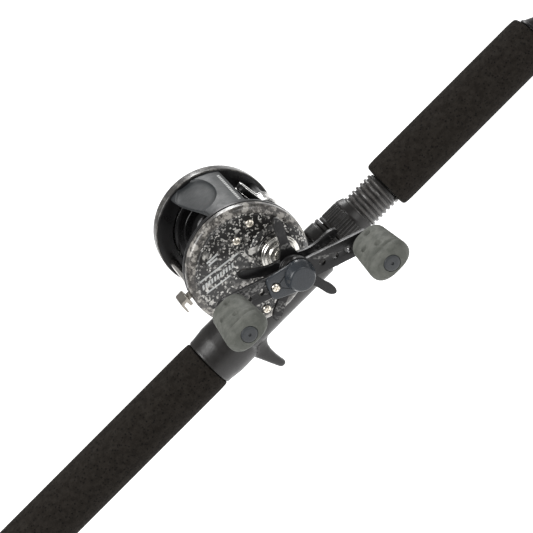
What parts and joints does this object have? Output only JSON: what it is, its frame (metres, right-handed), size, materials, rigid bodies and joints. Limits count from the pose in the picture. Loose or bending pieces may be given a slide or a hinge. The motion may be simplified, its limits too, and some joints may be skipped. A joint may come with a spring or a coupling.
{
  "type": "fishing rod and reel",
  "caption": "Casting rod with foam grips and a trigger seat, carrying a round multiplier reel with a star drag and a two-knob crank.",
  "frame": {"origin": "centre of the flat end face of the butt cap, on the rod's axis", "axes": "+X along the rod towards its tip, +Z towards the reel, -Y towards the crank"},
  "size_m": [1.5236, 0.113, 0.0932],
  "materials": {
    "carbon": "clear-coated graphite blank",
    "foam": "fine black EVA foam",
    "seat_plastic": "satin moulded graphite-filled nylon",
    "black_metal": "black satin anodised metal",
    "cover": "satin black with a speckled grey pattern",
    "slate": "slate grey moulded plastic",
    "knob_rubber": "grey-green soft-touch rubber",
    "bright": "polished bright metal",
    "steel": "machined steel",
    "brass": "cut brass gear metal",
    "ceramic": "dark glossy ceramic ring"
  },
  "bodies": {
    "rod": {"rod_blank": "carbon", "butt_cap": "seat_plastic", "rear_grip": "foam", "fore_grip": "foam", "reel_seat": "seat_plastic", "guide_1": "black_metal", "guide_2": "black_metal", "guide_3": "black_metal", "guide_4": "black_metal", "guide_5": "black_metal", "guide_ring_1": "ceramic", "guide_ring_2": "ceramic", "guide_ring_3": "ceramic", "guide_ring_4": "ceramic", "guide_ring_5": "ceramic", "tip_top": "black_metal", "frame_left": "cover", "frame_right": "cover", "reel_foot": "black_metal", "front_pillar": "black_metal", "rear_bar": "bright", "thumb_rest": "slate", "gear_cover": "cover", "palm_cover": "cover", "cover_screw_1": "bright", "cover_screw_2": "bright", "cover_screw_3": "bright", "bridge_plate": "steel", "spool_bearing_right": "steel", "spool_bearing_left": "steel", "bearing_cap": "bright", "worm_tube": "black_metal"},
    "hood": {"sliding_hood": "seat_plastic"},
    "nut": {"lock_nut": "seat_plastic"},
    "crank": {"drive_shaft": "steel", "main_gear": "brass", "level_wind_driver": "brass", "drag_washer": "brass", "crank_arm": "black_metal", "crank_nut": "steel", "nut_cover": "slate", "nut_cover_screw": "bright", "knob_spindle_a": "steel", "knob_spindle_b": "steel"},
    "star": {"star_drag": "black_metal"},
    "knob_a": {"knob_a": "knob_rubber", "knob_a_cap": "knob_rubber"},
    "knob_b": {"knob_b": "knob_rubber", "knob_b_cap": "knob_rubber"},
    "spool": {"spool": "black_metal", "spool_shaft": "steel", "pinion_gear": "brass"},
    "idler": {"idler_gear": "seat_plastic"},
    "worm": {"worm_shaft": "steel", "worm_cog": "steel"},
    "guide": {"line_guide": "bright", "pawl": "steel"},
    "release": {"release_button": "slate"},
    "cast_control": {"cast_control_knob": "black_metal"},
    "clicker": {"clicker_button": "slate"}
  },
  "joints": [
    {"name": "hood_slide", "type": "slide", "parent": "rod", "child": "hood", "axis": [1, 0, 0], "range_m": [0, 0.0117]},
    {"name": "nut_turn", "type": "hinge", "parent": "hood", "child": "nut", "pos_m": [0.314, 0, 0], "axis": [1, 0, 0], "range_deg": [0, 1710]},
    {"name": "crank_turn", "type": "hinge", "parent": "rod", "child": "crank", "pos_m": [0.283, 0, 0.0308], "axis": [0, 1, 0], "continuous": true},
    {"name": "star_turn", "type": "hinge", "parent": "crank", "child": "star", "pos_m": [0.283, 0, 0.0308], "axis": [0, 1, 0], "range_deg": [-180, 360]},
    {"name": "knob_a_spin", "type": "hinge", "parent": "crank", "child": "knob_a", "pos_m": [0.25183, -0.06, 0.04308], "axis": [0, 1, 0], "continuous": true},
    {"name": "knob_b_spin", "type": "hinge", "parent": "crank", "child": "knob_b", "pos_m": [0.31417, -0.06, 0.01852], "axis": [0, 1, 0], "continuous": true},
    {"name": "spool_turn", "type": "hinge", "parent": "rod", "child": "spool", "pos_m": [0.27, 0, 0.0358], "axis": [0, 1, 0], "continuous": true},
    {"name": "idler_turn", "type": "hinge", "parent": "rod", "child": "idler", "pos_m": [0.28508, 0, 0.03909], "axis": [0, 1, 0], "continuous": true},
    {"name": "worm_turn", "type": "hinge", "parent": "rod", "child": "worm", "pos_m": [0.29296, 0, 0.0372], "axis": [0, 1, 0], "continuous": true},
    {"name": "guide_travel", "type": "slide", "parent": "rod", "child": "guide", "axis": [0, 1, 0], "range_m": [-0.0135, 0.0135]},
    {"name": "release_press", "type": "slide", "parent": "rod", "child": "release", "axis": [0, 0, -1], "range_m": [0, 0.004]},
    {"name": "cast_control_turn", "type": "hinge", "parent": "rod", "child": "cast_control", "pos_m": [0.27, 0.03, 0.0358], "axis": [0, 1, 0], "range_deg": [-360, 360]},
    {"name": "clicker_slide", "type": "slide", "parent": "rod", "child": "clicker", "axis": [1, 0, 0], "range_m": [0, 0.006]}
  ],
  "couplings": [
    {"joint": "hood_slide", "follows": "nut_turn", "m_per_rad": 0.00038993},
    {"joint": "spool_turn", "follows": "crank_turn", "ratio": -5},
    {"joint": "idler_turn", "follows": "crank_turn", "ratio": -0.58333},
    {"joint": "worm_turn", "follows": "crank_turn", "ratio": 1.1667}
  ]
}
